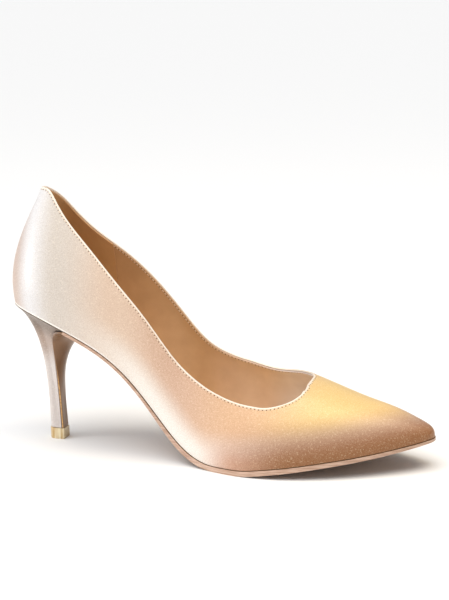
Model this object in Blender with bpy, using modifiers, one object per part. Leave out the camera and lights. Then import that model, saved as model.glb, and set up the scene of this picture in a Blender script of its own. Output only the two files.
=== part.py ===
"""A pointed stiletto pump for the right foot, standing on its heel and its tread.

Metres, +Z up. +X runs to the toe, -Y is the lateral side and +Y the medial side.
The origin is the centre of the top piece's resting face, on the floor.
"""

import math
from typing import NamedTuple

import bmesh
import bpy
import numpy as np
from mathutils import Matrix, Vector

# Driving sizes of the last, which every leather piece follows.
LAST_LENGTH = 0.227
BALL_WIDTH = 0.073
HEEL_HEIGHT = 0.077
INSTEP_HEIGHT = 0.050
COUNTER_HEIGHT = 0.065
TOE_SPRING = 0.014
HEEL_SETBACK = 0.020

# Driving sizes of the pieces.
UPPER_WALL = 0.0016
SOLE_SUBSTANCE = 0.0030
WAIST_SUBSTANCE = 0.0018
TOE_SUBSTANCE = 0.0017
SOLE_MARGIN = 0.0004
INSOLE_THICKNESS = 0.0022
TIP_LENGTH = 0.0072
TIP_WIDTH = 0.0070
TOP_PIECE_HEIGHT = 0.0060
TOP_PIECE_MARGIN = 0.0003
COVER_THICKNESS = 0.0010
GAP = 0.0003
HEEL_LIP = WAIST_SUBSTANCE - COVER_THICKNESS - 2 * GAP

# Where the heel's breast meets the shank, as shares of the last's length.
BREAST_SIDE = 0.160
BREAST_BULGE = 0.042

# The pitch, as a share of the heel's height, over which the sole is skived for the shank.
SKIVE_PITCH = 0.35

# How late the sole thins towards the toe: 1 is evenly with the toe's spring.
TOE_SKIVE_CURVE = 1.5

# The throat's front: the lateral topline drops from the ridge as the root of this length times
# the way back from it, and the medial one at this slope, within this reach of the ridge.
THROAT_ROUND = 0.0128
THROAT_SLOPE = 0.42
THROAT_REACH = 0.026
THROAT_BLEND = 0.012

# How finely the surfaces are divided.
WALL_STEPS = 10
STATION_STEP = 0.0050
THROAT_STEPS = 9
THROAT_RUN = 0.018
THROAT_LEAD = 0.008
TOE_RUN = 0.012
TOE_STEP = 0.0022
PLATE_COLUMNS = 8
SIDE_POINTS = 11
FRONT_POINTS = 5
STEM_LEVELS = 13


class Station(NamedTuple):
    """One section of the last: lengths are shares of the named sizes, and leans are degrees."""

    along: float
    pitch: float
    spring: float
    lateral: float
    medial: float
    spine: float
    offset: float
    crest: float
    reach: float
    lean_lateral: float
    lean_medial: float
    foot_pull: float
    crest_lean: float
    crest_pull: float
    rise: float
    skew: float


# along, spine: LAST_LENGTH. pitch: HEEL_HEIGHT above the sole. spring: TOE_SPRING.
# lateral, medial, offset: BALL_WIDTH. crest: INSTEP_HEIGHT. rise, skew: COUNTER_HEIGHT.
STATIONS = {
    "back": Station(
        .000, 1.01, .00, .000, .000, .147, .00, 1.56, .26, 11, 11, .36, -70, .34, .94, .00
    ),
    "back_side": Station(
        .015, 1.004, .00, .170, .170, .147, .00, 1.56, .26, 11, 11, .36, -70, .34, .935, -.015
    ),
    "heel_side": Station(
        .070, .974, .00, .315, .315, .147, .00, 1.58, .20, 12, 12, .36, -68, .34, .915, -.055
    ),
    "seat": Station(
        .174, .842, .00, .350, .345, .174, .00, 1.62, .20, 9, 10, .38, -68, .36, .79, -.06
    ),
    "seat_front": Station(
        .240, .733, .00, .342, .325, .240, .00, 1.62, .20, 11, 13, .38, -60, .38, .715, -.035
    ),
    "shank": Station(
        .306, .570, .00, .330, .295, .306, .00, 1.58, .20, 14, 18, .40, -48, .40, .675, -.025
    ),
    "waist": Station(
        .371, .338, .00, .330, .285, .371, .00, 1.50, .15, 15, 20, .42, -32, .44, .68, -.04
    ),
    "waist_front": Station(
        .434, .113, .00, .352, .310, .434, .00, 1.38, .08, 12, 17, .42, -18, .46, .67, -.02
    ),
    "ball_back": Station(
        .494, .012, .00, .415, .365, .494, .00, 1.24, .04, 9, 12, .42, -8, .48, .645, .01
    ),
    "ball": Station(
        .560, -.01, .00, .480, .425, .560, .00, 1.08, .00, 6, 8, .42, 0, .44, .58, .04
    ),
    "ball_front": Station(
        .636, .00, .10, .508, .478, .636, .00, .91, .00, 4, 5, .42, 0, .40, .52, .047
    ),
    "throat_side": Station(
        .700, .00, .25, .488, .490, .700, .005, .785, .00, 2, 3, .42, 0, .37, .520, .043
    ),
    "vamp": Station(
        .765, .00, .405, .435, .460, .765, .010, .640, .00, 1, 1, .42, 0, .36, .70, .00
    ),
    "vamp_front": Station(
        .835, .00, .555, .345, .385, .835, .016, .485, .00, 0, 0, .42, 0, .36, .90, .00
    ),
    "toe": Station(
        .910, .00, .74, .220, .275, .905, .024, .340, .00, 0, 0, .42, 0, .38, .90, .00
    ),
    "toe_front": Station(
        .962, .00, .88, .112, .180, .945, .032, .225, .00, 2, 2, .45, -8, .42, .90, .00
    ),
    "tip_side": Station(
        .992, .00, .96, .028, .106, .962, .038, .165, .00, 4, 4, .45, -20, .45, .90, .00
    ),
    "tip": Station(
        1.00, .00, .97, -.038, .038, .962, .038, .165, .00, 4, 4, .45, -26, .45, .90, .00
    ),
}
SIDE_COLUMNS = ("lateral", "medial")
LATERAL, MEDIAL = -1, 1


class Flare(NamedTuple):
    """How the heel's wall runs from the tip up to the seat.

    Pulls are shares of the wall's height, the lean is a slope, and the angle and the turn
    towards the back are degrees.
    """

    stem_pull: float
    stem_lean: float
    seat_pull: float
    seat_angle: float
    seat_turn: float


FLARES = {
    "back": Flare(.50, .02, .30, 38, 0),
    "corner": Flare(.80, -.08, .30, 86, 26),
    "breast": Flare(.74, -.10, .28, 90, 0),
}


def spline_bends(knots: np.ndarray, values: np.ndarray, level_ends: bool) -> np.ndarray:
    """Second derivatives of the cubic spline through the values, level or free at its ends."""
    count = len(knots)
    step = np.diff(knots)
    slope = np.diff(values) / step
    matrix = np.eye(count)
    right = np.zeros(count)
    for i in range(1, count - 1):
        matrix[i, i - 1 : i + 2] = step[i - 1], 2 * (step[i - 1] + step[i]), step[i]
        right[i] = 6 * (slope[i] - slope[i - 1])
    if level_ends:
        matrix[0, :2] = 2 * step[0], step[0]
        right[0] = 6 * slope[0]
        matrix[-1, -2:] = step[-1], 2 * step[-1]
        right[-1] = -6 * slope[-1]
    return np.linalg.solve(matrix, right)


class Last:
    """The foot form: splines through the stations, and wall curves from feather to crest."""

    def __init__(self, stations: dict):
        rows = list(stations.values())
        self.values = {name: np.array([getattr(r, name) for r in rows], float) for name in Station._fields}
        along = self.values["along"] * LAST_LENGTH
        width = (self.values["lateral"] + self.values["medial"]) / 2 * BALL_WIDTH
        self.knots = np.concatenate([[0], np.cumsum(np.hypot(np.diff(along), np.diff(width)))])
        self.bends = {
            name: spline_bends(self.knots, column, name not in SIDE_COLUMNS)
            for name, column in self.values.items()
        }
        self.end = float(self.knots[-1])

    def column(self, name: str, u: float) -> float:
        """One column of the table, read at the distance u round the feather line."""
        knots, values, bends = self.knots, self.values[name], self.bends[name]
        i = int(np.clip(np.searchsorted(knots, u, side="right") - 1, 0, len(knots) - 2))
        step = knots[i + 1] - knots[i]
        a = (knots[i + 1] - u) / step
        b = 1 - a
        curve = ((a**3 - a) * bends[i] + (b**3 - b) * bends[i + 1]) * step * step / 6
        return float(a * values[i] + b * values[i + 1] + curve)

    def foot(self, u: float, side: int) -> Vector:
        """The feather point, where the upper's outer face meets the bottom."""
        x = self.column("along", u) * LAST_LENGTH - HEEL_SETBACK
        y = side * self.column("lateral" if side == LATERAL else "medial", u) * BALL_WIDTH
        arch = self.column("pitch", u) * (HEEL_HEIGHT - SOLE_SUBSTANCE)
        lift = max(0.0, arch + self.column("spring", u) * TOE_SPRING)
        return Vector((x, y, SOLE_SUBSTANCE + lift))

    def inset(self, u: float, side: int, distance: float) -> Vector:
        """The feather point moved inwards, square to the feather line in plan."""
        small = self.end / 2000
        before = self.foot(max(u - small, 0.0), side)
        after = self.foot(min(u + small, self.end), side)
        along = Vector((after.x - before.x, after.y - before.y, 0))
        if u <= small:
            along = Vector((0, side, 0))
        if u >= self.end - small:
            along = Vector((0, -side, 0))
        inwards = Vector((side * along.y, -side * along.x, 0)).normalized()
        return self.foot(u, side) + inwards * distance

    def wall(self, u: float, side: int) -> "Wall":
        """The wall curve above the feather point."""
        foot = self.foot(u, side)
        spine = Vector((
            self.column("spine", u) * LAST_LENGTH - HEEL_SETBACK,
            self.column("offset", u) * BALL_WIDTH,
            foot.z,
        ))
        outwards = foot - spine
        radius = outwards.length
        outwards.normalize()
        height = self.column("crest", u) * INSTEP_HEIGHT
        reach = self.column("reach", u) * radius
        span = math.hypot(radius - reach, height)
        lean = math.radians(self.column("lean_lateral" if side == LATERAL else "lean_medial", u))
        turn = math.radians(self.column("crest_lean", u))
        low = span * self.column("foot_pull", u)
        high = span * self.column("crest_pull", u)
        points = np.array([
            (radius, 0),
            (radius + low * math.sin(lean), low * math.cos(lean)),
            (reach + high * math.cos(turn), height + high * math.sin(turn)),
            (reach, height),
        ])
        return Wall(spine, outwards, points)

    def rise(self, u: float, side: int) -> float:
        """How high the topline stands over the feather line."""
        free = (self.column("rise", u) + side * self.column("skew", u)) * COUNTER_HEIGHT
        behind = max(0.0, THROAT - u)
        share = min(1.0, max(0.0, (THROAT_REACH - behind) / THROAT_BLEND))
        share = share * share * (3 - 2 * share)
        drop = math.sqrt(THROAT_ROUND * behind) if side == LATERAL else THROAT_SLOPE * behind
        rounded = self.column("crest", u) * INSTEP_HEIGHT - drop
        return free + (rounded - free) * share

    def throat(self) -> float:
        """Where the topline reaches the crest, at the front of the opening."""
        low, high = self.knots[len(self.knots) // 2], self.end
        while high - low > 1e-6:
            middle = (low + high) / 2
            is_open = self.column("rise", middle) * COUNTER_HEIGHT < self.column("crest", middle) * INSTEP_HEIGHT
            low, high = (middle, high) if is_open else (low, middle)
        return high

    def at_x(self, x: float) -> float:
        """The distance round the feather line at which it lies at this x."""
        low, high = 0.0, self.end
        while high - low > 1e-7:
            middle = (low + high) / 2
            low, high = (middle, high) if self.foot(middle, LATERAL).x < x else (low, middle)
        return high

    def bottom(self, x: float) -> float:
        """Height of the last's bottom at this x."""
        return self.foot(self.at_x(x), LATERAL).z

    def down(self, x: float) -> Vector:
        """Unit vector square to the last's bottom, pointing away from the foot."""
        small = LAST_LENGTH / 400
        slope = (self.bottom(x + small) - self.bottom(x - small)) / (2 * small)
        return Vector((slope, 0, -1)).normalized()


class Wall:
    """A cubic curve in an upright plane through the spine."""

    def __init__(self, spine: Vector, outwards: Vector, points: np.ndarray):
        self.spine = spine
        self.outwards = outwards
        self.points = points

    def flat(self, t: float) -> np.ndarray:
        """Distance from the spine and height over the feather line."""
        a, b, c, d = self.points
        s = 1 - t
        return s**3 * a + 3 * s * s * t * b + 3 * s * t * t * c + t**3 * d

    def point(self, t: float) -> Vector:
        """The curve's point in the shoe's frame."""
        out, up = self.flat(t)
        return self.spine + self.outwards * out + Vector((0, 0, up))

    def crest(self) -> Vector:
        """The point over the spine, where the two sides of the vamp meet."""
        return self.spine + Vector((0, 0, self.points[-1][1]))

    def reaching(self, height: float) -> float:
        """The t at which the curve reaches this height."""
        low, high = 0.0, 1.0
        while high - low > 1e-6:
            middle = (low + high) / 2
            low, high = (middle, high) if self.flat(middle)[1] < height else (low, middle)
        return high


LAST = Last(STATIONS)
THROAT = LAST.throat()


def spread(first: float, last: float, step: float) -> list:
    """Evenly spaced values no further apart than a step, without the last one."""
    count = max(1, math.ceil((last - first) / step))
    return [first + (last - first) * i / count for i in range(count)]


def wall_stations() -> list:
    """Distances round the feather line, close together below the throat's front and at the toe."""
    first, last, toe = THROAT - THROAT_RUN, THROAT + THROAT_LEAD, LAST.end - TOE_RUN
    dense = [first + (last - first) * k / THROAT_STEPS for k in range(THROAT_STEPS)]
    stations = spread(0.0, first, STATION_STEP) + dense
    return stations + spread(last, toe, STATION_STEP) + spread(toe, LAST.end, TOE_STEP) + [LAST.end]


def topline_station(u: float, side: int) -> float:
    """Where a wall that starts at u on the feather line ends, drawn back to the throat's round front."""
    share = (THROAT + THROAT_LEAD - u) / (THROAT_RUN + THROAT_LEAD)
    if share > 1:
        return u
    if share > 0:
        return THROAT - THROAT_RUN * share ** (4 if side == LATERAL else 2)
    catch_up = max(0.0, 1 - (u - THROAT - THROAT_LEAD) / (3 * THROAT_LEAD))
    return u - THROAT_LEAD * catch_up * catch_up


def mesh_object(name: str, points: list, faces: list, material: bpy.types.Material) -> bpy.types.Object:
    """An object in the shoe's collection, with its doubled points merged."""
    mesh = bpy.data.meshes.new(name)
    mesh.from_pydata([tuple(p) for p in points], [], faces)
    work = bmesh.new()
    work.from_mesh(mesh)
    bmesh.ops.remove_doubles(work, verts=work.verts, dist=1e-6)
    bmesh.ops.dissolve_degenerate(work, edges=work.edges, dist=1e-7)
    work.to_mesh(mesh)
    work.free()
    mesh.materials.append(material)
    mesh.shade_smooth()
    mesh.set_sharp_from_angle(angle=math.radians(40))
    made = bpy.data.objects.new(name, mesh)
    bpy.data.collections["pump"].objects.link(made)
    return made


def grid_faces(rows: int, columns: int, first: int, flip: bool) -> list:
    """Quads of a grid whose points are stored row by row."""
    faces = []
    for i in range(rows - 1):
        for j in range(columns - 1):
            a = first + i * columns + j
            quad = (a, a + columns, a + columns + 1, a + 1)
            faces.append(quad[::-1] if flip else quad)
    return faces


def build_upper(material: bpy.types.Material) -> bpy.types.Object:
    """One hollow shell, open along the topline and underneath."""
    stations = wall_stations()
    points, faces = [], []
    for side in (LATERAL, MEDIAL):
        faces += grid_faces(len(stations), WALL_STEPS + 1, len(points), side == MEDIAL)
        for u in stations:
            end = topline_station(u, side)
            closed = u > THROAT + THROAT_LEAD - GAP
            top = 1.0 if closed else LAST.wall(end, side).reaching(LAST.rise(end, side))
            for j in range(WALL_STEPS):
                share = j / WALL_STEPS
                points.append(LAST.wall(u + (end - u) * share * share, side).point(top * share))
            points.append(LAST.wall(end, side).crest() if closed else LAST.wall(end, side).point(top))
    upper = mesh_object("upper", points, faces, material)
    shell = upper.modifiers.new("wall", "SOLIDIFY")
    shell.thickness = UPPER_WALL
    shell.offset = -1
    shell.use_even_offset = True
    return upper


def build_plate(name: str, rows: list, material: bpy.types.Material) -> bpy.types.Object:
    """A closed plate from rows of (upper, lower) point pairs, each row running lateral to medial."""
    columns = len(rows[0])
    upper = [pair[0] for row in rows for pair in row]
    lower = [pair[1] for row in rows for pair in row]
    count = len(upper)
    faces = grid_faces(len(rows), columns, 0, False)
    faces += grid_faces(len(rows), columns, count, True)
    rim = list(range(columns))
    rim += [columns * i + columns - 1 for i in range(1, len(rows))]
    rim += [columns * (len(rows) - 1) + j for j in range(columns - 2, -1, -1)]
    rim += [columns * i for i in range(len(rows) - 2, 0, -1)]
    for a, b in zip(rim, rim[1:] + rim[:1]):
        faces.append((a, b, b + count, a + count))
    return mesh_object(name, upper + lower, faces, material)


def breast_x(across: float) -> float:
    """The breast's line in plan, bowed to the toe: across runs from -1 to 1."""
    return (BREAST_SIDE + BREAST_BULGE * (1 - across * across)) * LAST_LENGTH - HEEL_SETBACK


def build_insole(material: bpy.types.Material) -> bpy.types.Object:
    """Board and sock in one, inside the upper's walls."""
    rows = []
    for u in wall_stations():
        edges = []
        for side, lean in ((LATERAL, "lean_lateral"), (MEDIAL, "lean_medial")):
            margin = UPPER_WALL / math.cos(math.radians(LAST.column(lean, u))) + GAP
            edges.append(LAST.inset(u, side, margin))
        row = []
        for j in range(PLATE_COLUMNS + 1):
            point = edges[0].lerp(edges[1], j / PLATE_COLUMNS)
            point.z = LAST.bottom(point.x)
            row.append((point + Vector((0, 0, INSOLE_THICKNESS)), point))
        rows.append(row)
    return build_plate("insole", rows, material)


def breast_fade(distance: float) -> float:
    """How much of the breast's bow is left at this distance in front of it."""
    run = 4 * BREAST_BULGE * LAST_LENGTH
    return max(0.0, 1 - distance / run) ** 2


def sole_substance(u: float) -> float:
    """The sole's thickness, skived where the shank rises."""
    shank = min(1.0, max(0.0, LAST.column("pitch", u) / SKIVE_PITCH))
    toe = max(0.0, LAST.column("spring", u)) ** TOE_SKIVE_CURVE
    skived = (WAIST_SUBSTANCE - SOLE_SUBSTANCE) * shank + (TOE_SUBSTANCE - SOLE_SUBSTANCE) * toe
    return SOLE_SUBSTANCE + skived


def build_outsole(material: bpy.types.Material) -> bpy.types.Object:
    """The leather sole, from the toe to the bowed edge of the heel's breast."""
    start = LAST.at_x(breast_x(1) + GAP)
    toe = LAST.end - TOE_RUN
    stations = spread(start, toe, STATION_STEP) + spread(toe, LAST.end, TOE_STEP) + [LAST.end]
    rows = []
    for u in stations:
        lateral, medial = (LAST.inset(u, side, -SOLE_MARGIN) for side in (LATERAL, MEDIAL))
        bow = BREAST_BULGE * LAST_LENGTH * breast_fade(lateral.x - breast_x(1))
        row = []
        for j in range(PLATE_COLUMNS + 1):
            across = 2 * j / PLATE_COLUMNS - 1
            point = lateral.lerp(medial, j / PLATE_COLUMNS)
            point.x += bow * (1 - across * across)
            point.z = LAST.bottom(point.x)
            down = LAST.down(point.x)
            row.append((point + down * GAP, point + down * sole_substance(LAST.at_x(point.x))))
        rows.append(row)
    return build_plate("outsole", rows, material)


def tip_outline(length: float, width: float, front: float) -> list:
    """Half of the heel tip's D in plan, from the back's middle round the lateral side."""
    radius = width / 2
    centre = radius - length / 2
    arc = radius * math.pi / 2
    side = front - centre
    outline = []
    for k in range(SIDE_POINTS + 1):
        run = (arc + side) * k / SIDE_POINTS
        turn = min(run, arc) / radius
        ahead = max(run - arc, 0.0)
        outline.append((centre - radius * math.cos(turn) + ahead, -radius * math.sin(turn)))
    return outline + [(front, -radius * (1 - k / FRONT_POINTS)) for k in range(1, FRONT_POINTS + 1)]


def seat_outline() -> list:
    """Half of the heel's top in plan: along the feather line, then across the bowed breast."""
    side_end = LAST.at_x(breast_x(1) - GAP)
    outline = []
    for k in range(SIDE_POINTS + 1):
        point = LAST.inset(side_end * k / SIDE_POINTS, LATERAL, 0)
        outline.append((point.x, point.y))
    half_width = outline[-1][1]
    for k in range(1, FRONT_POINTS + 1):
        across = 1 - k / FRONT_POINTS
        outline.append((breast_x(across) - GAP, half_width * across))
    return outline


def flare_at(k: int) -> Flare:
    """The heel's flare at one point of its half outline."""
    if k <= SIDE_POINTS:
        first, last, share = FLARES["back"], FLARES["corner"], k / SIDE_POINTS
    else:
        first, last, share = FLARES["corner"], FLARES["breast"], (k - SIDE_POINTS) / FRONT_POINTS
    share = share * share * (3 - 2 * share)
    return Flare(*(a + (b - a) * share for a, b in zip(first, last)))


def heel_columns() -> list:
    """The heel's wall as columns of points, from the tip up, all round from the back's middle."""
    floor = TOP_PIECE_HEIGHT + GAP
    half = []
    for k, (low, high) in enumerate(zip(tip_outline(TIP_LENGTH, TIP_WIDTH, TIP_LENGTH / 2), seat_outline())):
        flare = flare_at(k)
        foot = Vector((low[0], low[1], floor))
        seat = Vector((high[0], high[1], LAST.bottom(high[0])))
        down = LAST.down(seat.x)
        head = seat + down * (GAP + HEEL_LIP)
        height = head.z - floor
        outwards = Vector((low[0], low[1], 0)).normalized()
        inwards = Vector((foot.x - head.x, foot.y - head.y, 0)).normalized()
        inwards.rotate(Matrix.Rotation(math.radians(flare.seat_turn), 3, "Z"))
        angle = math.radians(flare.seat_angle)
        stem = foot + (outwards * flare.stem_lean + Vector((0, 0, 1))) * flare.stem_pull * height
        neck = head + (inwards * math.sin(angle) - Vector((0, 0, math.cos(angle)))) * flare.seat_pull * height
        column = []
        for level in range(STEM_LEVELS + 1):
            t = level / STEM_LEVELS
            s = 1 - t
            column.append(s**3 * foot + 3 * s * s * t * stem + 3 * s * t * t * neck + t**3 * head)
        half.append(column + [seat + down * GAP])
    mirrored = [[Vector((p.x, -p.y, p.z)) for p in column] for column in half[-2:0:-1]]
    return half + mirrored


def build_loft(name: str, columns: list, material: bpy.types.Material) -> bpy.types.Object:
    """A closed solid from columns of points all round, capped by strips across it."""
    count, levels = len(columns), len(columns[0])
    points = [p for column in columns for p in column]
    faces = []
    for k in range(count):
        after = (k + 1) % count
        for level in range(levels - 1):
            a, b = k * levels + level, after * levels + level
            faces.append((a, b, b + 1, a + 1))
    for level, flip in ((0, True), (levels - 1, False)):
        for k in range(count // 2):
            a, b = k * levels + level, (k + 1) * levels + level
            c, d = ((count - k - 1) % count) * levels + level, ((count - k) % count) * levels + level
            strip = tuple(dict.fromkeys((a, b, c, d)))
            faces.append(strip[::-1] if flip else strip)
    return mesh_object(name, points, faces, material)


def build_heel(material: bpy.types.Material) -> bpy.types.Object:
    """The covered stiletto, from the top piece up to the seat."""
    return build_loft("heel", heel_columns(), material)


def build_breast_cover(material: bpy.types.Material) -> bpy.types.Object:
    """The sole leather that runs on down the heel's breast."""
    columns = heel_columns()[SIDE_POINTS : SIDE_POINTS + 2 * FRONT_POINTS + 1]
    rows = []
    for level in range(STEM_LEVELS + 1):
        row = []
        for k, column in enumerate(columns):
            below, above = column[max(level - 1, 0)], column[min(level + 1, STEM_LEVELS)]
            lateral, medial = columns[max(k - 1, 0)], columns[min(k + 1, len(columns) - 1)]
            normal = (medial[level] - lateral[level]).cross(above - below).normalized()
            if level == STEM_LEVELS:
                normal = LAST.down(column[level].x)
            row.append((column[level] + normal * GAP, column[level] + normal * (GAP + COVER_THICKNESS)))
        rows.append(row)
    return build_plate("breast_cover", rows, material)


def build_top_piece(material: bpy.types.Material) -> bpy.types.Object:
    """The top piece under the heel and its cover, flat on the floor."""
    front = TIP_LENGTH / 2 + GAP + COVER_THICKNESS
    margin = TOP_PIECE_MARGIN
    half = tip_outline(TIP_LENGTH + 2 * margin, TIP_WIDTH + 2 * margin, front + margin)
    outline = half + [(x, -y) for x, y in half[-2:0:-1]]
    columns = [[Vector((x, y, 0)), Vector((x, y, TOP_PIECE_HEIGHT))] for x, y in outline]
    return build_loft("top_piece", columns, material)


def build_materials() -> dict:
    """Plain stand-ins for the real finishes."""
    finishes = {
        "satin": ((.86, .70, .58, 1), .42, 0.0),
        "sole_leather": ((.55, .38, .28, 1), .45, 0.0),
        "sock_leather": ((.70, .48, .28, 1), .55, 0.0),
        "top_lift": ((.80, .66, .42, 1), .40, 0.0),
    }
    made = {}
    for name, (colour, roughness, metallic) in finishes.items():
        material = bpy.data.materials.new(name)
        material.use_nodes = True
        shader = material.node_tree.nodes["Principled BSDF"]
        shader.inputs["Base Color"].default_value = colour
        shader.inputs["Roughness"].default_value = roughness
        shader.inputs["Metallic"].default_value = metallic
        material.diffuse_color = colour
        made[name] = material
    return made


def main() -> None:
    """Clear the scene and build the shoe."""
    for old in list(bpy.data.objects):
        bpy.data.objects.remove(old, do_unlink=True)
    bpy.context.scene.collection.children.link(bpy.data.collections.new("pump"))
    materials = build_materials()
    build_upper(materials["satin"])
    build_insole(materials["sock_leather"])
    build_outsole(materials["sole_leather"])
    build_heel(materials["satin"])
    build_breast_cover(materials["sole_leather"])
    build_top_piece(materials["top_lift"])


main()
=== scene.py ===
"""Looks of a pointed satin pump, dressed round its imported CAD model.

Metres, +Z up: +X runs to the toe, -Y is the lateral side, and the origin lies on the floor
under the middle of the heel's top piece.
"""

import logging
import math
from collections.abc import Callable, Iterator
from contextlib import contextmanager
from dataclasses import dataclass
from enum import Enum

import bmesh
import bpy
from mathutils import Matrix, Vector
from mathutils.bvhtree import BVHTree
from mathutils.kdtree import KDTree


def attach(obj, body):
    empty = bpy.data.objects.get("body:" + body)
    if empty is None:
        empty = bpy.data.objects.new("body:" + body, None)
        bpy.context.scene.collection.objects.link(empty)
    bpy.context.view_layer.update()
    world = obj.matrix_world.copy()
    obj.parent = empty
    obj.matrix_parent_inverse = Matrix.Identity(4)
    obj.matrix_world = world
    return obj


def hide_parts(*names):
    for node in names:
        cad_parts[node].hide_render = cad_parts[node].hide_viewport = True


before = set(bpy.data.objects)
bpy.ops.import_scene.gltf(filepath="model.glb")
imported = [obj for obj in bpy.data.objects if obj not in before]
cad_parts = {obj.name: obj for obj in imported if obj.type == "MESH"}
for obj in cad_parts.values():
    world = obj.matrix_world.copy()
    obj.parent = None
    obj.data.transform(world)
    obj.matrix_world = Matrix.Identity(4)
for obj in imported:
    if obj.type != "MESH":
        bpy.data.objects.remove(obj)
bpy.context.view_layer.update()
MM = 0.001
TINY = 1e-9  # keeps a length off zero
MERGE = 0.01 * MM  # points this near are one
QUAD_TURN = 40.0  # degrees between two triangles that may make a quad
QUAD_SKEW = 75.0  # degrees that its corners may be off square
SMOOTH_TURN = 40.0  # degrees between faces that are shaded as one surface
SHARP_TURN = 60.0  # degrees between faces whose edge is rounded
WAVE_PITCH = math.tau / 20  # of a wave texture at a scale of 1
NOISE_LOW, NOISE_HIGH = 0.35, 0.65  # where most of a noise's values lie
WHITE = (1.0, 1.0, 1.0, 1.0)
FROM_FEATHER = "from_feather"  # the attributes that Upper.mark_distances writes
FROM_TOPLINE = "from_topline"

log = logging.getLogger("pump")

Colour = tuple[float, float, float]
Rgba = tuple[float, float, float, float]
Socket = bpy.types.NodeSocket


class Side(Enum):
    """The two skins of the upper's wall, by the way that their lateral faces look."""

    OUTER = -1
    INNER = 1


# ---------------------------------------------------------------- finishes


@dataclass(frozen=True)
class Stop:
    """One colour stop of a ramp, at a share of its run."""

    at: float
    colour: Colour


def linear(colour: Colour) -> Rgba:
    """A screen colour of 0 to 1 as the linear colour that a shader takes.

    Args:
        colour: Red, green and blue as a screen shows them.

    Returns:
        The linear red, green and blue, and an alpha of 1.
    """
    parts = [c / 12.92 if c <= 0.04045 else ((c + 0.055) / 1.055) ** 2.4 for c in colour]
    return (parts[0], parts[1], parts[2], 1.0)


class Recipe:
    """A material's node tree, with a short call for each kind of node in use."""

    def __init__(self, name: str) -> None:
        """Makes the material with an empty Principled shader.

        Args:
            name: The material's name.
        """
        self.material = bpy.data.materials.new(name)
        self.material.use_nodes = True
        self.nodes = self.material.node_tree.nodes
        self.links = self.material.node_tree.links
        self.shader = self.nodes["Principled BSDF"]
        self.place = self.nodes.new("ShaderNodeTexCoord").outputs["Object"]

    def set(self, **values: float | tuple) -> None:
        """Sets the shader's own sockets, named with underscores for spaces."""
        for name, value in values.items():
            self.shader.inputs[name.replace("_", " ")].default_value = value

    def feed(self, name: str, socket: Socket) -> None:
        """Links a socket into one of the shader's inputs."""
        self.links.new(socket, self.shader.inputs[name])

    def add(self, kind: str, inputs: dict, **settings: object) -> bpy.types.Node:
        """Adds a node.

        Args:
            kind: The node's type, without its ShaderNode prefix.
            inputs: Sockets or values for its inputs, by name or number.
            settings: Attributes of the node.

        Returns:
            The node.
        """
        node = self.nodes.new("ShaderNode" + kind)
        for name, value in settings.items():
            setattr(node, name, value)
        for name, value in inputs.items():
            if isinstance(value, Socket):
                self.links.new(value, node.inputs[name])
            else:
                node.inputs[name].default_value = value
        return node

    def times(self, first: Socket | float, second: Socket | float) -> Socket:
        """The product of two values."""
        return self.add("Math", {0: first, 1: second}, operation="MULTIPLY").outputs[0]

    def axis(self, name: str) -> Socket:
        """One coordinate of the place on the piece, in metres."""
        return self.add("SeparateXYZ", {0: self.place}).outputs[name]

    def run(self, value: Socket, start: float, end: float, how: str = "LINEAR") -> Socket:
        """A value's share of the way from a start to an end, kept within 0 and 1."""
        inputs = {"Value": value, "From Min": start, "From Max": end}
        return self.add("MapRange", inputs, clamp=True, interpolation_type=how).outputs[0]

    def soft(self, value: Socket, start: float, end: float) -> Socket:
        """The same share, with a smooth start and end."""
        return self.run(value, start, end, "SMOOTHSTEP")

    def ramp(self, share: Socket, stops: tuple[Stop, ...]) -> Socket:
        """A colour that changes smoothly through its stops.

        Args:
            share: Where on the ramp, from 0 to 1.
            stops: The colours, as a screen shows them.

        Returns:
            The colour's socket.
        """
        node = self.add("ValToRGB", {0: share})
        band = node.color_ramp
        band.interpolation = "EASE"
        while len(band.elements) < len(stops):
            band.elements.new(0.5)
        for element, stop in zip(band.elements, stops):
            element.position = stop.at
            element.color = linear(stop.colour)
        return node.outputs[0]

    def mix(
        self, share: Socket | float, first: Socket | tuple, second: Socket | tuple, how: str = "MIX"
    ) -> Socket:
        """Two colours mixed by a share, in one of the node's blend types."""
        inputs = {0: share, 6: first, 7: second}
        return self.add("Mix", inputs, data_type="RGBA", blend_type=how).outputs[2]

    def noise(self, size: float, detail: float = 3.0, place: Socket | None = None) -> Socket:
        """Noise whose grains are about a size across, in metres."""
        inputs = {"Vector": place or self.place, "Scale": 1 / size, "Detail": detail}
        return self.add("TexNoise", inputs).outputs[0]

    def clouds(self, size: float, detail: float = 3.0, place: Socket | None = None) -> Socket:
        """The same noise, stretched to run from 0 to 1."""
        return self.run(self.noise(size, detail, place), NOISE_LOW, NOISE_HIGH)

    def marked(self, name: str) -> Socket:
        """A distance that the piece's mesh carries as an attribute, in metres."""
        return self.add("Attribute", {}, attribute_name=name).outputs["Fac"]

    def pores(self, size: float) -> Socket:
        """Cells like the pores of a leather, about a size across, in metres."""
        inputs = {"Vector": self.place, "Scale": 1 / size}
        return self.add("TexVoronoi", inputs).outputs["Distance"]

    def ribs(self, pitch: float, axis: str, place: Socket) -> Socket:
        """Straight ribs at a pitch in metres, stacked along one axis of a place."""
        inputs = {"Vector": place, "Scale": WAVE_PITCH / pitch}
        return self.add("TexWave", inputs, bands_direction=axis, wave_profile="SIN").outputs[1]

    def bump(self, height: Socket, depth: float) -> Socket:
        """A normal that reads a height as a relief of a depth in metres."""
        inputs = {"Height": height, "Distance": depth, "Strength": 1.0}
        return self.add("Bump", inputs).outputs[0]


@dataclass(frozen=True)
class PaintedLight:
    """Painted light laid over the satin's own tone, low on the wall: a painted highlight where
    it is paler, a painted shade where it is darker.

    It is full at its low distance from the feather line and gone at its high one. Along the
    shoe it comes in from its start on X to its full.
    """

    colour: Colour
    low: float
    high: float
    start: float
    full: float
    share: float = 1.0


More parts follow.
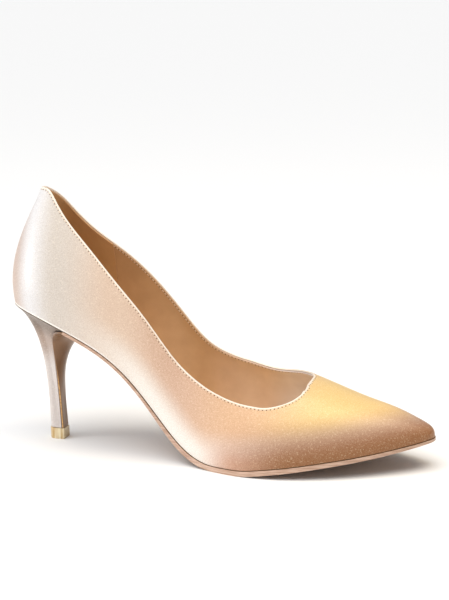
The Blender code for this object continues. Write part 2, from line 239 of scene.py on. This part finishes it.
@dataclass(frozen=True)
class Satin:
    """Duchess satin: a drift of tone along one axis that is partly painted light, painted shades
    and highlights near the feather line, and a fine weave.

    The rim is a painted highlight on the folded edge at the topline. The glints are painted
    highlights: bright specks where threads float on the surface.
    """

    name: str
    axis: str
    start: float
    end: float
    stops: tuple[Stop, ...]
    painted_lights: tuple[PaintedLight, ...] = ()
    speckle: float = 0.45 * MM
    speckle_dark: Colour = (0.94, 0.92, 0.90)
    speckle_light: Colour = (0.32, 0.28, 0.24)
    # painted glints: small specks of painted highlight where threads float
    painted_glint_size: float = 0.8 * MM
    painted_glint_colour: Colour = (0.46, 0.41, 0.34)
    painted_glint_low: float = 0.59
    painted_glint_high: float = 0.69
    # the rim's colour and width: a painted highlight on the folded edge at the topline
    rim: Colour = (0.97, 0.93, 0.88)
    rim_highlight_width: float = 0.95 * MM
    rim_highlight_full: float = 0.6
    thread_pitch: float = 0.24 * MM
    float_size: float = 1.1 * MM
    relief: float = 0.012 * MM
    roughness: float = 0.36
    gloss: float = 0.5
    gloss_tint: Rgba = (1.0, 0.90, 0.78, 1.0)
    sheen: float = 0.08
    sheen_roughness: float = 0.35

    def make(self) -> bpy.types.Material:
        """Builds the satin's material.

        Returns:
            The material.
        """
        r = Recipe(self.name)
        r.set(Specular_IOR_Level=self.gloss, Specular_Tint=self.gloss_tint)
        r.set(Sheen_Weight=self.sheen, Sheen_Roughness=self.sheen_roughness)
        r.set(Roughness=self.roughness)
        tone = r.ramp(r.run(r.axis(self.axis), self.start, self.end), self.stops)
        # painted highlights and painted shades, laid on by the distance from the feather line
        for painted_patch in self.painted_lights:
            low = r.soft(r.marked(FROM_FEATHER), painted_patch.high, painted_patch.low)
            front = r.soft(r.axis("X"), painted_patch.start, painted_patch.full)
            share = r.times(r.times(low, front), painted_patch.share)
            tone = r.mix(share, tone, linear(painted_patch.colour))
        # a painted highlight on the folded edge along the topline
        if self.painted_lights:
            rim = r.soft(r.marked(FROM_TOPLINE), self.rim_highlight_width, self.rim_highlight_full * self.rim_highlight_width)
            tone = r.mix(rim, tone, linear(self.rim))
        dark = r.mix(1.0, tone, linear(self.speckle_dark), "MULTIPLY")
        light = r.mix(1.0, tone, linear(self.speckle_light), "SCREEN")
        woven = r.mix(r.clouds(self.speckle), dark, light)
        # painted highlight: sparse bright specks screened over the tone
        painted_glints = r.run(r.noise(self.painted_glint_size, 1.0), self.painted_glint_low, self.painted_glint_high)
        r.feed("Base Color", r.mix(painted_glints, woven, linear(self.painted_glint_colour), "SCREEN"))
        weave = r.add("UVMap", {}).outputs[0]
        warp = r.ribs(self.thread_pitch, "Y", weave)
        floats = r.noise(self.float_size, 1.0, weave)
        r.feed("Normal", r.bump(r.times(warp, floats), self.relief))
        return r.material


@dataclass(frozen=True)
class Leather:
    """Smooth leather with pores and a slow drift of tone."""

    name: str
    colour: Colour
    second: Colour
    roughness: float = 0.5
    coat: float = 0.0
    coat_roughness: float = 0.3
    pore: float = 0.6 * MM
    cloud: float = 18 * MM
    relief: float = 0.03 * MM

    def make(self) -> bpy.types.Material:
        """Builds the leather's material.

        Returns:
            The material.
        """
        r = Recipe(self.name)
        r.set(Roughness=self.roughness)
        r.set(Coat_Weight=self.coat, Coat_Roughness=self.coat_roughness)
        tones = linear(self.colour), linear(self.second)
        r.feed("Base Color", r.mix(r.clouds(self.cloud), *tones))
        r.feed("Normal", r.bump(r.pores(self.pore), self.relief))
        return r.material


@dataclass(frozen=True)
class Lining:
    """Kid leather whose tone drifts from the counter to the toe, with faint clouds and pores."""

    name: str
    start: float
    end: float
    stops: tuple[Stop, ...]
    pore: float = 0.5 * MM
    cloud: float = 9 * MM
    cloud_low: float = 0.3
    cloud_high: float = 0.7
    cloud_tint: Rgba = (0.90, 0.88, 0.86, 1.0)
    relief: float = 0.02 * MM
    roughness: float = 0.55

    def make(self) -> bpy.types.Material:
        """Builds the lining's material.

        Returns:
            The material.
        """
        r = Recipe(self.name)
        r.set(Roughness=self.roughness)
        base = r.ramp(r.run(r.axis("X"), self.start, self.end), self.stops)
        clouds = r.run(r.noise(self.cloud), self.cloud_low, self.cloud_high)
        clouded = r.mix(1.0, base, self.cloud_tint, "MULTIPLY")
        r.feed("Base Color", r.mix(clouds, base, clouded))
        r.feed("Normal", r.bump(r.pores(self.pore), self.relief))
        return r.material


@dataclass(frozen=True)
class Streaked:
    """A polished edge or moulded face with fine streaks along one axis."""

    name: str
    colour: Colour
    second: Colour
    axis: str = "X"
    pitch: float = 1.4 * MM
    roughness: float = 0.38
    relief: float = 0.01 * MM
    stretch: float = 0.08

    def make(self) -> bpy.types.Material:
        """Builds the streaked material.

        Returns:
            The material.
        """
        r = Recipe(self.name)
        r.set(Roughness=self.roughness)
        scale = [1.0 if name == self.axis else self.stretch for name in "XYZ"]
        place = r.add("Mapping", {"Vector": r.place, "Scale": scale}).outputs[0]
        streaks = r.clouds(self.pitch, 2.0, place)
        r.feed("Base Color", r.mix(streaks, linear(self.colour), linear(self.second)))
        r.feed("Normal", r.bump(streaks, self.relief))
        return r.material


SATIN = Satin(
    "duchess_satin",
    "X",
    -0.022,
    0.205,
    # A drift that is partly the satin's own blush-to-champagne tone and partly painted light.
    (
        # painted shade along the back edge
        Stop(0.00, (0.67, 0.57, 0.51)),
        Stop(0.030, (0.73, 0.64, 0.59)),
        # painted highlight on the counter
        Stop(0.085, (0.86, 0.86, 0.87)),
        Stop(0.15, (0.81, 0.78, 0.75)),
        Stop(0.30, (0.83, 0.73, 0.65)),
        Stop(0.44, (0.81, 0.67, 0.58)),
        Stop(0.60, (0.87, 0.71, 0.57)),
        # painted warm light on the vamp and toe
        Stop(0.80, (0.92, 0.79, 0.53)),
        Stop(1.00, (0.93, 0.78, 0.54)),
    ),
    (
        # painted highlight: the pale streak along the lower waist
        PaintedLight((0.94, 0.93, 0.91), 0.004, 0.021, 0.010, 0.070, 0.95),
        # painted shade: peach over the lower ball
        PaintedLight((0.79, 0.61, 0.52), 0.002, 0.026, 0.086, 0.112, 0.95),
        # painted shade: brown over the lower toe
        PaintedLight((0.55, 0.35, 0.18), 0.000, 0.0255, 0.096, 0.142, 1.0),
        # painted highlight: a thin bright line along the feather at the heel
        PaintedLight((0.99, 0.97, 0.95), 0.0006, 0.0013, 0.055, 0.035, 0.9),
    ),
)
HEEL_SATIN = Satin(
    "heel_satin",
    "Z",
    0.0,
    0.080,
    (
        Stop(0.00, (0.80, 0.77, 0.76)),
        Stop(0.50, (0.81, 0.78, 0.77)),
        # painted shade: darker toward the heel's top, under the seat
        Stop(0.70, (0.64, 0.56, 0.52)),
        Stop(0.84, (0.36, 0.28, 0.23)),
    ),
)
GRIP = Lining(
    "grip_kid",
    -0.02,
    0.06,
    (
        Stop(0.0, (0.74, 0.58, 0.40)),
        Stop(0.6, (0.78, 0.60, 0.42)),
        Stop(1.0, (0.80, 0.62, 0.44)),
    ),
)
KID = Lining(
    "lining_kid",
    0.03,
    0.17,
    (
        Stop(0.0, (0.77, 0.60, 0.44)),
        Stop(0.30, (0.80, 0.64, 0.48)),
        # painted light: near white toward the toe, for the light inside the throat; the tan behind
        # is the kid's own
        Stop(0.56, (0.91, 0.80, 0.72)),
        Stop(0.72, (0.97, 0.93, 0.92)),
        Stop(1.0, (0.97, 0.94, 0.94)),
    ),
)
SOCK = Lining(
    "sock_leather",
    0.0,
    0.17,
    (
        Stop(0.00, (0.96, 0.82, 0.50)),
        Stop(0.60, (0.97, 0.84, 0.54)),
        Stop(0.80, (0.96, 0.87, 0.78)),
    ),
    roughness=0.45,
)
SOLE = Leather(
    "sole_leather",
    (0.55, 0.40, 0.26),
    (0.47, 0.33, 0.20),
    roughness=0.34,
    coat=0.25,
)
EDGE = Streaked(
    "sole_edge",
    (0.80, 0.68, 0.60),
    (0.68, 0.54, 0.45),
    axis="Z",
    pitch=0.7 * MM,
)
RAW_EDGE = Streaked(
    "raw_edge",
    (0.84, 0.66, 0.42),
    (0.66, 0.47, 0.27),
    axis="Z",
    pitch=0.7 * MM,
)
THREAD = Streaked(
    "thread",
    (0.93, 0.86, 0.76),
    (0.88, 0.80, 0.70),
    pitch=0.3 * MM,
    roughness=0.5,
)
# painted shade: dark capsules that stand for the shade inside the needle holes
HOLE_SHADE = Streaked(
    "needle_hole",
    (0.38, 0.26, 0.19),
    (0.34, 0.23, 0.16),
    pitch=0.3 * MM,
    roughness=0.8,
)
# Partly painted: the gold is the top piece's own, its pale streaks are painted reflections of a
# metal-look face.
TOP_LIFT = Streaked(
    "top_lift",
    (0.72, 0.57, 0.33),
    (0.90, 0.84, 0.70),
    axis="X",
    pitch=1.6 * MM,
    roughness=0.3,
)


# ---------------------------------------------------------------- work on meshes


def only(piece: bpy.types.Object) -> None:
    """Selects one object, and makes it active."""
    bpy.ops.object.select_all(action="DESELECT")
    piece.select_set(True)
    bpy.context.view_layer.objects.active = piece


@contextmanager
def editing(piece: bpy.types.Object, mode: str = "FACE") -> Iterator[bmesh.types.BMesh]:
    """Edit mode on one object, with nothing selected at its start.

    Args:
        piece: The object.
        mode: The select mode, VERT, EDGE or FACE.

    Yields:
        The edit mesh.
    """
    only(piece)
    bpy.ops.object.mode_set(mode="EDIT")
    bpy.ops.mesh.select_mode(type=mode)
    bpy.ops.mesh.select_all(action="DESELECT")
    yield bmesh.from_edit_mesh(piece.data)
    bpy.ops.object.mode_set(mode="OBJECT")


def modify(piece: bpy.types.Object, kind: str, **settings: object) -> None:
    """Adds a modifier and applies it.

    Args:
        piece: The object.
        kind: The modifier's type.
        settings: Its attributes.
    """
    only(piece)
    tool = piece.modifiers.new(kind.title(), kind)
    for name, value in settings.items():
        setattr(tool, name, value)
    bpy.ops.object.modifier_apply(modifier=tool.name)


def copy_node(node: str, name: str) -> bpy.types.Object:
    """A new object from a CAD node's mesh, merged and turned back into quads.

    Args:
        node: The CAD node.
        name: The new piece's name.

    Returns:
        The new object, at the origin.
    """
    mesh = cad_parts[node].data.copy()
    mesh.name = name
    mesh.materials.clear()
    piece = bpy.data.objects.new(name, mesh)
    bpy.context.scene.collection.objects.link(piece)
    with editing(piece):
        bpy.ops.mesh.customdata_custom_splitnormals_clear()
        bpy.ops.mesh.select_all(action="SELECT")
        bpy.ops.mesh.remove_doubles(threshold=MERGE)
        bpy.ops.mesh.tris_convert_to_quads(
            face_threshold=math.radians(QUAD_TURN), shape_threshold=math.radians(QUAD_SKEW)
        )
    return piece


def strip_from(start: bmesh.types.BMFace) -> list[bmesh.types.BMFace]:
    """The closed strip of quads that runs on from a face, across its shortest edges.

    Args:
        start: One quad of the strip.

    Returns:
        The strip's faces.
    """
    strip, face = [], start
    edge = min(face.edges, key=lambda e: e.calc_length())
    while face not in strip:
        strip.append(face)
        corner = next(loop for loop in face.loops if loop.edge is edge)
        edge = corner.link_loop_next.link_loop_next.edge
        face = next(f for f in edge.link_faces if f is not face)
    return strip


def keep_skin(piece: bpy.types.Object, seeds: Callable) -> None:
    """Cuts a wall open along its two rims, and keeps one of its skins.

    Args:
        piece: The object.
        seeds: Takes the edit mesh, and gives a face of each rim and one of the skin to keep.
    """
    with editing(piece) as work:
        *rims, wanted = seeds(work)
        cut = {face for rim in rims for face in strip_from(rim)}
        kept, front = {wanted}, [wanted]
        while front:
            for edge in front.pop().edges:
                fresh = set(edge.link_faces) - cut - kept
                kept |= fresh
                front.extend(fresh)
        for face in work.faces:
            face.select_set(face not in kept)
        bmesh.update_edit_mesh(piece.data)
        bpy.ops.mesh.delete(type="FACE")


def round_edges(
    piece: bpy.types.Object, width: float, steps: int = 2, limit: float = SHARP_TURN
) -> None:
    """Bevels every edge that turns more than a limit.

    Args:
        piece: The object.
        width: The bevel's width in metres.
        steps: Its segments.
        limit: Degrees between faces.
    """
    with editing(piece, "EDGE"):
        bpy.ops.mesh.edges_select_sharp(sharpness=math.radians(limit))
        bpy.ops.mesh.bevel(offset=width, segments=steps, profile=0.5, clamp_overlap=True)


def dress(
    piece: bpy.types.Object,
    materials: list[bpy.types.Material],
    nodes: tuple[str, ...] = (),
) -> None:
    """Finishes a piece: smooth shading, materials, its body and the nodes it replaces.

    Args:
        piece: The object.
        materials: Its materials, in the order of its faces' numbers.
        nodes: The CAD nodes that it replaces.
    """
    for material in materials:
        piece.data.materials.append(material)
    only(piece)
    bpy.ops.object.shade_smooth_by_angle(angle=math.radians(SMOOTH_TURN))
    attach(piece, "root")
    if nodes:
        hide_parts(*nodes)
    log.info("%s: %d faces", piece.name, len(piece.data.polygons))


def rim_loops(piece: bpy.types.Object) -> list[list[int]]:
    """The open edges of a skin as closed loops of vertex numbers, the highest loop first.

    Args:
        piece: The skin.

    Returns:
        The loops; ones of a few edges, which no rim has, are left out.
    """
    fewest = 20
    work = bmesh.new()
    work.from_mesh(piece.data)
    left = dict.fromkeys(e for e in work.edges if e.is_boundary)  # in order, unlike a set
    loops = []
    while left:
        edge = next(iter(left))
        del left[edge]
        first, at = edge.verts
        loop = [first.index]
        while at is not first:
            loop.append(at.index)
            onward = [e for e in at.link_edges if e in left]
            if not onward:
                break
            del left[onward[0]]
            at = onward[0].other_vert(at)
        loops.append(loop)
    verts = list(piece.data.vertices)
    loops.sort(key=lambda loop: sum(verts[i].co.z for i in loop) / len(loop), reverse=True)
    work.free()
    return [loop for loop in loops if len(loop) > fewest]


# ---------------------------------------------------------------- the upper


@dataclass
class Upper:
    """The satin upper with its lining, heel grip and topline stitching."""

    satin_wall: float = 0.85 * MM
    fold_radius: float = 0.34 * MM
    fold_steps: int = 3
    lining_wall: float = 0.6 * MM
    lining_drop: float = 1.0 * MM
    lining_radius: float = 0.15 * MM
    grip_wall: float = 0.35 * MM
    grip_radius: float = 0.12 * MM
    grip_front: float = 0.0285
    stitch_inset: float = 1.2 * MM
    stitch_pitch: float = 2.0 * MM
    stitch_length: float = 1.35 * MM
    stitch_width: float = 0.42 * MM
    stitch_height: float = 0.30 * MM
    stitch_lift: float = 0.03 * MM
    hole_width: float = 0.6 * MM
    hole_height: float = 0.16 * MM
    seam_reach: float = 0.2 * MM
    seam_front: float = 0.01
    levels: int = 2

    def skin(self, name: str, side: Side) -> bpy.types.Object:
        """One smooth skin of the upper's wall.

        Args:
            name: The new object's name.
            side: The outer or the inner skin.

        Returns:
            The skin, open at the topline and at the feather.
        """
        piece = copy_node("upper", name)

        def seeds(work: bmesh.types.BMesh) -> tuple[bmesh.types.BMFace, ...]:
            """Where the cut starts.

            Args:
                work: The wall's edit mesh.

            Returns:
                The topline's highest face, the feather's lowest, and the skin's lateral-most.
            """
            level, upright = 0.7, 0.8
            middle = {f: f.calc_center_median() for f in work.faces}
            up = [f for f in work.faces if f.normal.z > level and middle[f].x < 0]
            down = [f for f in work.faces if f.normal.z < -level]
            facing = [f for f in work.faces if f.normal.y * side.value > upright]
            return (
                max(up, key=lambda f: middle[f].z),
                min(down, key=lambda f: middle[f].z),
                min(facing, key=lambda f: middle[f].y),
            )

        keep_skin(piece, seeds)
        return piece

    def unwrap(self, piece: bpy.types.Object) -> None:
        """Lays the skin's UV map flat from a seam down its back, in metres.

        Args:
            piece: The open skin.
        """

        def at_back(edge: bmesh.types.BMEdge) -> bool:
            """Whether an edge lies on the middle line of the back."""
            places = [v.co for v in edge.verts]
            return all(abs(p.y) < self.seam_reach and p.x < self.seam_front for p in places)

        with editing(piece, "EDGE") as work:
            for edge in filter(at_back, work.edges):
                edge.select_set(True)
            bmesh.update_edit_mesh(piece.data)
            bpy.ops.mesh.mark_seam()
            bpy.ops.mesh.select_all(action="SELECT")
            bpy.ops.uv.unwrap(method="ANGLE_BASED", margin=0.0)
        mesh = piece.data
        layer = mesh.uv_layers.active.data
        flat = real = 0.0
        for face in mesh.polygons:
            ring = [layer[i].uv.copy() for i in face.loop_indices]
            flat += abs(sum(a.cross(b) for a, b in zip(ring, ring[1:] + ring[:1]))) / 2
            real += face.area
        scale = math.sqrt(real / flat)
        for corner in layer:
            corner.uv *= scale

    @staticmethod
    def mark_distances(piece: bpy.types.Object) -> None:
        """Writes each point's distances from the topline and the feather line, in metres.

        Args:
            piece: The open skin, which takes them as attributes.
        """
        mesh = piece.data
        loops = rim_loops(piece)
        for name, loop in ((FROM_TOPLINE, loops[0]), (FROM_FEATHER, loops[-1])):
            tree = KDTree(len(loop))
            for index in loop:
                tree.insert(mesh.vertices[index].co, index)
            tree.balance()
            layer = mesh.attributes.new(name, "FLOAT", "POINT")
            for vertex in mesh.vertices:
                layer.data[vertex.index].value = tree.find(vertex.co)[2]

    def stitch_places(self, piece: bpy.types.Object) -> list[Matrix]:
        """Where the stitches lie: one frame each, X along the row and Z out of the surface.

        Args:
            piece: An open skin.

        Returns:
            The frames, evenly spaced along the topline.
        """
        mesh = piece.data
        loop = [mesh.vertices[i].co.copy() for i in rim_loops(piece)[0]]
        points = [v.co for v in mesh.vertices]
        tree = BVHTree.FromPolygons(points, [tuple(f.vertices) for f in mesh.polygons])
        least = 0.6 * self.stitch_inset  # a probe that falls short of this went off the rim
        row = []
        count = len(loop)
        for k, point in enumerate(loop):
            along = (loop[(k + 2) % count] - loop[k - 2]).normalized()
            _, normal, _, _ = tree.find_nearest(point)
            inwards = normal.cross(along).normalized()
            probe = tree.find_nearest(point + inwards * self.stitch_inset)
            if (probe[0] - point).length < least:
                probe = tree.find_nearest(point - inwards * self.stitch_inset)
            row.append(probe[0])
        lengths = [0.0]
        for a, b in zip(row, row[1:] + row[:1]):
            lengths.append(lengths[-1] + (b - a).length)
        total = lengths[-1]
        stitches = round(total / self.stitch_pitch)
        places, k = [], 0
        for s in range(stitches):
            at = total * s / stitches
            while lengths[k + 1] < at:
                k += 1
            share = (at - lengths[k]) / max(lengths[k + 1] - lengths[k], TINY)
            here, after = row[k % count], row[(k + 1) % count]
            point = here.lerp(after, share)
            x = (row[(k + 2) % count] - row[k - 1]).normalized()
            _, normal, _, _ = tree.find_nearest(point)
            y = normal.cross(x).normalized()
            z = x.cross(y)
            turn = Matrix((x, y, z)).transposed().to_4x4()
            places.append(Matrix.Translation(point) @ turn)
        return places

    def scatter(
        self, name: str, places: list[Matrix], size: Vector, lift: float, shift: float
    ) -> bpy.types.Object:
        """Copies of one small capsule at many places, joined into one piece.

        Args:
            name: The piece's name.
            places: A frame for each copy.
            size: The capsule's length, width and height.
            lift: How far its middle stands over the surface.
            shift: How far it is moved along the row.

        Returns:
            The joined piece.
        """
        bpy.ops.object.select_all(action="DESELECT")
        bpy.ops.mesh.primitive_uv_sphere_add(segments=8, ring_count=5, radius=0.5)
        seed = bpy.context.active_object
        seed.data.transform(Matrix.Diagonal((size.x, size.y, size.z, 1.0)))
        work = bmesh.new()
        for place in places:
            fresh = bmesh.new()
            fresh.from_mesh(seed.data)
            fresh.transform(place @ Matrix.Translation((shift, 0, lift)))
            spare = bpy.data.meshes.new("spare")
            fresh.to_mesh(spare)
            work.from_mesh(spare)
            fresh.free()
            bpy.data.meshes.remove(spare)
        mesh = bpy.data.meshes.new(name)
        work.to_mesh(mesh)
        work.free()
        bpy.data.objects.remove(seed)
        piece = bpy.data.objects.new(name, mesh)
        bpy.context.scene.collection.objects.link(piece)
        return piece

    def build_satin(self, satin: bpy.types.Material) -> list[Matrix]:
        """The satin shell, folded over at the topline.

        Args:
            satin: Its material.

        Returns:
            The places of its stitches.
        """
        shell = self.skin("upper_satin", Side.OUTER)
        self.unwrap(shell)
        modify(shell, "SUBSURF", levels=self.levels, render_levels=self.levels)
        places = self.stitch_places(shell)
        self.mark_distances(shell)
        modify(shell, "SOLIDIFY", thickness=self.satin_wall, offset=-1, use_even_offset=False)
        round_edges(shell, self.fold_radius, self.fold_steps)
        dress(shell, [satin], ("upper",))
        return places

    def build_lining(self, kid: bpy.types.Material) -> list[Matrix]:
        """The lining, cut a little under the folded edge.

        Args:
            kid: Its material.

        Returns:
            The places of the stitches that show on it.
        """
        lining = self.skin("lining", Side.INNER)
        modify(lining, "SUBSURF", levels=self.levels, render_levels=self.levels)
        places = self.stitch_places(lining)
        for place, index in zip(*self.drop_edge(lining)):
            lining.data.vertices[index].co = place
        modify(lining, "SOLIDIFY", thickness=self.lining_wall, offset=-1, use_even_offset=False)
        round_edges(lining, self.lining_radius)
        dress(lining, [kid])
        return places

    def drop_edge(self, piece: bpy.types.Object) -> tuple[list[Vector], list[int]]:
        """Where the topline's points go when the lining is cut shorter.

        Args:
            piece: The lining's open skin.

        Returns:
            The new places, and the vertices that take them.
        """
        mesh = piece.data
        loop = rim_loops(piece)[0]
        most = 0.6  # of the way to the next row of points
        inner: dict[int, list[int]] = {i: [] for i in loop}
        for edge in mesh.edges:
            a, b = edge.vertices
            if (a in inner) != (b in inner):
                rim, other = (a, b) if a in inner else (b, a)
                inner[rim].append(other)
        places, picked = [], []
        for index in loop:
            point = mesh.vertices[index].co
            if inner[index]:
                below = [mesh.vertices[i].co for i in inner[index]]
                step = sum(below, Vector()) / len(below) - point
                places.append(point + step * min(most, self.lining_drop / max(step.length, TINY)))
                picked.append(index)
        return places, picked

    def build_grip(self, kid: bpy.types.Material) -> None:
        """The heel grip, a second layer of kid over the back of the lining.

        Args:
            kid: Its material.
        """
        grip = self.skin("heel_grip", Side.INNER)
        modify(grip, "SUBSURF", levels=self.levels, render_levels=self.levels)
        with editing(grip, "FACE"):
            bpy.ops.mesh.select_all(action="SELECT")
            cut = {"plane_co": (self.grip_front, 0, 0), "plane_no": (1, 0, 0)}
            bpy.ops.mesh.bisect(**cut, clear_outer=True)
        for place, index in zip(*self.drop_edge(grip)):
            grip.data.vertices[index].co = place
        modify(grip, "SOLIDIFY", thickness=self.grip_wall, offset=1, use_even_offset=False)
        round_edges(grip, self.grip_radius)
        dress(grip, [kid])

    def build_stitches(
        self,
        outer: list[Matrix],
        inner: list[Matrix],
        thread: bpy.types.Material,
        hole: bpy.types.Material,
    ) -> None:
        """The row of stitches round the topline, outside and on the lining.

        Args:
            outer: Places on the satin.
            inner: Places on the lining.
            thread: The thread's material.
            hole: The needle holes' material, dark as painted shade.
        """
        stitch = Vector((self.stitch_length, self.stitch_width, self.stitch_height))
        pit = Vector((self.hole_width, self.hole_width, self.hole_height))
        half = self.stitch_pitch / 2
        for where, places in (("outside", outer), ("lining", inner)):
            row = self.scatter(f"stitches_{where}", places, stitch, self.stitch_lift, 0.0)
            dress(row, [thread])
            # dark capsules of painted shade where the needle holes are
            holes = self.scatter(f"needle_holes_{where}", places, pit, 0.0, half)
            dress(holes, [hole])

    def build(self) -> None:
        """Builds and dresses the whole upper."""
        kid = KID.make()
        outer = self.build_satin(SATIN.make())
        inner = self.build_lining(kid)
        self.build_grip(GRIP.make())
        self.build_stitches(outer, inner, THREAD.make(), HOLE_SHADE.make())


# ---------------------------------------------------------------- what lies under the foot


@dataclass
class Sock:
    """The insole with its leather sock."""

    edge_radius: float = 0.35 * MM
    levels: int = 2

    def build(self) -> None:
        """Builds and dresses the sock."""
        sock = copy_node("insole", "sock")
        round_edges(sock, self.edge_radius)
        modify(sock, "SUBSURF", levels=self.levels, render_levels=self.levels)
        dress(sock, [SOCK.make()], ("insole",))


@dataclass
class Sole:
    """The leather sole, which runs on down the heel's breast.

    A face is part of a cut edge when it looks sideways by more than the least share. Behind
    the toe, a sole's face that looks more along the shoe than across it belongs to a flat side.
    """

    edge_radius: float = 0.40 * MM
    cover_radius: float = 0.2 * MM
    edge_least: float = 0.45
    cover_least: float = 0.93
    toe_start: float = 0.17
    across_least: float = 0.5
    levels: int = 2

    def build(self) -> None:
        """Builds and dresses the sole and the breast cover."""
        leather, edge, raw = SOLE.make(), EDGE.make(), RAW_EDGE.make()
        for node, name, radius, trim, is_edge in (
            ("outsole", "sole", self.edge_radius, edge, self.on_sole_edge),
            ("breast_cover", "heel_breast", self.cover_radius, raw, self.on_cover_edge),
        ):
            piece = copy_node(node, name)
            round_edges(piece, radius)
            modify(piece, "SUBSURF", levels=self.levels, render_levels=self.levels)
            for face in piece.data.polygons:
                face.material_index = int(is_edge(face))
            dress(piece, [leather, trim], (node,))

    def on_sole_edge(self, face: bpy.types.MeshPolygon) -> bool:
        """Whether a face of the sole is part of its cut edge."""
        normal = face.normal
        if abs(normal.y) < self.across_least and face.center.x < self.toe_start:
            return False
        return math.hypot(normal.x, normal.y) > self.edge_least

    def on_cover_edge(self, face: bpy.types.MeshPolygon) -> bool:
        """Whether a face of the breast's leather is part of its cut edge."""
        return abs(face.normal.y) > self.cover_least


@dataclass
class Heel:
    """The satin-covered heel and its top piece."""

    edge_radius: float = 0.30 * MM
    lift_turn: float = 50.0
    levels: int = 2

    def build(self) -> None:
        """Builds and dresses the heel and the top piece."""
        heel = copy_node("heel", "heel_satin")
        with editing(heel):
            bpy.ops.mesh.select_all(action="SELECT")
            bpy.ops.uv.cube_project(cube_size=1.0)
        round_edges(heel, self.edge_radius)
        modify(heel, "SUBSURF", levels=self.levels, render_levels=self.levels)
        dress(heel, [HEEL_SATIN.make()], ("heel",))
        lift = copy_node("top_piece", "top_lift")
        round_edges(lift, self.edge_radius, limit=self.lift_turn)
        dress(lift, [TOP_LIFT.make()], ("top_piece",))


# ---------------------------------------------------------------- the studio


@dataclass(frozen=True)
class Lamp:
    """One soft lamp: it stands at a place and looks at the shoe."""

    name: str
    place: tuple[float, float, float]
    power: float
    size: float
    colour: Colour

    def build(self, target: Vector) -> None:
        """Adds the lamp.

        Args:
            target: What it is turned to.
        """
        data = bpy.data.lights.new(self.name, "AREA")
        data.energy, data.size, data.color = self.power, self.size, self.colour
        lamp = bpy.data.objects.new(self.name, data)
        bpy.context.scene.collection.objects.link(lamp)
        lamp.location = self.place
        lamp.rotation_euler = (target - Vector(self.place)).to_track_quat("-Z", "Y").to_euler()


@dataclass(frozen=True)
class Studio:
    """The floor, the lamps and the camera at the photograph's angle."""

    eye: tuple[float, float, float] = (0.308, -0.678, 0.241)
    yaw: float = 17.3
    pitch: float = 12.6
    roll: float = -0.7
    focal_pixels: float = 1404.0
    frame_pixels: float = 600.0
    sensor: float = 36.0
    far_clip: float = 200.0
    floor_side: float = 120.0
    floor_tone: Rgba = (0.93, 0.93, 0.93, 1.0)
    floor_roughness: float = 0.9
    floor_gloss: float = 0.1
    target: tuple[float, float, float] = (0.095, 0.0, 0.06)
    sky: float = 0.38
    sun_power: float = 2.2
    sun_width: float = 60.0
    sun_tilt: tuple[float, float, float] = (18.0, -10.0, 0.0)
    lamps: tuple[Lamp, ...] = (
        Lamp("key", (-0.95, -0.55, 0.20), 5.5, 0.45, (0.96, 0.98, 1.0)),
        Lamp("warm", (0.50, -0.05, 0.85), 3.0, 0.5, (1.0, 0.84, 0.62)),
    )

    def build_floor(self) -> None:
        """A pale floor that runs out of sight."""
        bpy.ops.object.select_all(action="DESELECT")
        bpy.ops.mesh.primitive_plane_add(size=self.floor_side, location=(0, 0, 0))
        floor = bpy.context.active_object
        floor.name = "studio_floor"
        r = Recipe("pale_floor")
        r.set(Base_Color=self.floor_tone, Roughness=self.floor_roughness)
        r.set(Specular_IOR_Level=self.floor_gloss)
        floor.data.materials.append(r.material)

    def build_world(self) -> None:
        """An even surround, white to look at, which lights the shoe softly."""
        world = bpy.data.worlds.new("surround")
        world.use_nodes = True
        nodes, links = world.node_tree.nodes, world.node_tree.links
        glow = nodes["Background"]
        backdrop = nodes.new("ShaderNodeBackground")
        seen = nodes.new("ShaderNodeLightPath")
        choice = nodes.new("ShaderNodeMixShader")
        for source, strength in ((glow, self.sky), (backdrop, 1.0)):
            source.inputs[0].default_value = WHITE
            source.inputs[1].default_value = strength
        links.new(seen.outputs["Is Camera Ray"], choice.inputs[0])
        links.new(glow.outputs[0], choice.inputs[1])
        links.new(backdrop.outputs[0], choice.inputs[2])
        links.new(choice.outputs[0], nodes["World Output"].inputs[0])
        bpy.context.scene.world = world
        bpy.context.scene.view_settings.view_transform = "Standard"

    def build_sun(self) -> None:
        """A very wide sun, which lights the floor evenly as far as it goes."""
        data = bpy.data.lights.new("overhead", "SUN")
        data.energy, data.angle = self.sun_power, math.radians(self.sun_width)
        sun = bpy.data.objects.new("overhead", data)
        sun.rotation_euler = [math.radians(a) for a in self.sun_tilt]
        bpy.context.scene.collection.objects.link(sun)

    def build_camera(self) -> None:
        """The camera, from its place and its three turns."""
        yaw, pitch, roll = (math.radians(a) for a in (self.yaw, self.pitch, self.roll))
        ahead = Vector((-math.sin(yaw), math.cos(yaw), 0))
        look = ahead * math.cos(pitch) - Vector((0, 0, math.sin(pitch)))
        right = Vector((math.cos(yaw), math.sin(yaw), 0))
        up = right.cross(look)
        tilted = right * math.cos(roll) + up * math.sin(roll)
        top = up * math.cos(roll) - right * math.sin(roll)
        data = bpy.data.cameras.new("camera")
        data.lens = self.focal_pixels * self.sensor / self.frame_pixels
        data.sensor_width, data.clip_end = self.sensor, self.far_clip
        camera = bpy.data.objects.new("camera", data)
        bpy.context.scene.collection.objects.link(camera)
        turn = Matrix((tilted, top, -look)).transposed().to_4x4()
        camera.matrix_world = Matrix.Translation(self.eye) @ turn
        bpy.context.scene.camera = camera

    def build(self) -> None:
        """Sets the stage."""
        self.build_floor()
        self.build_world()
        self.build_sun()
        self.build_camera()
        for lamp in self.lamps:
            lamp.build(Vector(self.target))


def main() -> None:
    """Builds every sub-assembly."""
    logging.basicConfig(level=logging.INFO, format="%(name)s %(message)s")
    for part in (Studio(), Upper(), Sock(), Sole(), Heel()):
        part.build()
        log.info("%s is built", type(part).__name__)


if __name__ == "__main__":
    main()
